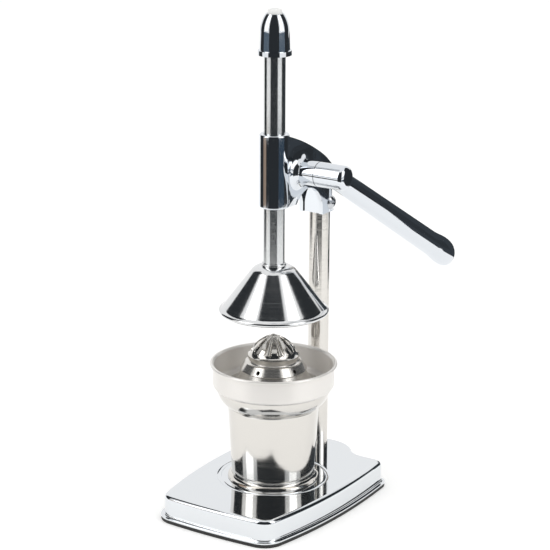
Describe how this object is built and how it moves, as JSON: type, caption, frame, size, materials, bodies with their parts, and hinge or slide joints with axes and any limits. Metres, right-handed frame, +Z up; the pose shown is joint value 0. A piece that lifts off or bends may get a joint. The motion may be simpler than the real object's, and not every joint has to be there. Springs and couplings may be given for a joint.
{
  "type": "lever citrus juice press",
  "caption": "Free-standing lever citrus press: a rack-and-pinion plunger on a column pushes a metal bell over a fluted reamer, tray and cup on a rubber-soled base.",
  "frame": {"origin": "on the table under the plunger's axis, on the underside of the rubber mat", "axes": "+Z up along the plunger, -Y the front, +Y towards the column, +X the side of the lever"},
  "size_m": [0.146, 0.3366, 0.4503],
  "materials": {
    "chrome_base": "polished chrome plate",
    "black_rubber": "matt",
    "zinc_steel": "bright zinc plate",
    "polished_tube": "polished stainless",
    "chrome_casting": "polished chrome plate",
    "satin_steel": "satin ground",
    "polished_aluminium": "polished",
    "white_plastic": "gloss",
    "gear_steel": "oiled steel",
    "black_nylon": "matt",
    "polished_stainless": "polished stainless"
  },
  "bodies": {
    "stand": {"base_shell": "chrome_base", "base_mat": "black_rubber", "base_plate": "zinc_steel", "bolt_washer": "zinc_steel", "column_bolt": "zinc_steel", "column_plug": "zinc_steel", "column": "polished_tube", "guide_casting": "chrome_casting", "column_screw": "zinc_steel"},
    "ram": {"ram_rod": "satin_steel", "press_cone": "polished_aluminium", "cone_washer": "zinc_steel", "cone_screw": "zinc_steel", "ram_cap": "chrome_casting", "cap_screw": "zinc_steel", "cap_plug": "white_plastic"},
    "lever": {"lever": "chrome_casting", "pinion": "gear_steel", "pinion_shaft": "gear_steel", "pinion_pin": "gear_steel", "thrust_washer": "black_nylon", "friction_washer": "gear_steel", "end_washer": "zinc_steel", "end_screw": "zinc_steel", "hub_set_screw": "gear_steel"},
    "cup": {"cup": "polished_stainless"},
    "tray": {"tray": "polished_stainless"},
    "strainer": {"strainer": "polished_stainless", "reamer": "polished_stainless"}
  },
  "joints": [
    {"name": "lever_turn", "type": "hinge", "parent": "stand", "child": "lever", "pos_m": [0, 0.02148, 0.3054], "axis": [1, 0, 0], "range_deg": [-42, 190]},
    {"name": "ram_slide", "type": "slide", "parent": "stand", "child": "ram", "axis": [0, 0, 1], "range_m": [-0.0495, 0.011]},
    {"name": "cup_slide", "type": "slide", "parent": "stand", "child": "cup", "axis": [0, -1, 0], "range_m": [0, 0.165]},
    {"name": "tray_turn", "type": "hinge", "parent": "cup", "child": "tray", "pos_m": [0, 0, 0.1084], "axis": [0, 0, 1], "continuous": true},
    {"name": "strainer_turn", "type": "hinge", "parent": "tray", "child": "strainer", "pos_m": [0, 0, 0.1064], "axis": [0, 0, 1], "continuous": true}
  ],
  "couplings": [
    {"joint": "ram_slide", "follows": "lever_turn", "m_per_rad": -0.014875}
  ]
}
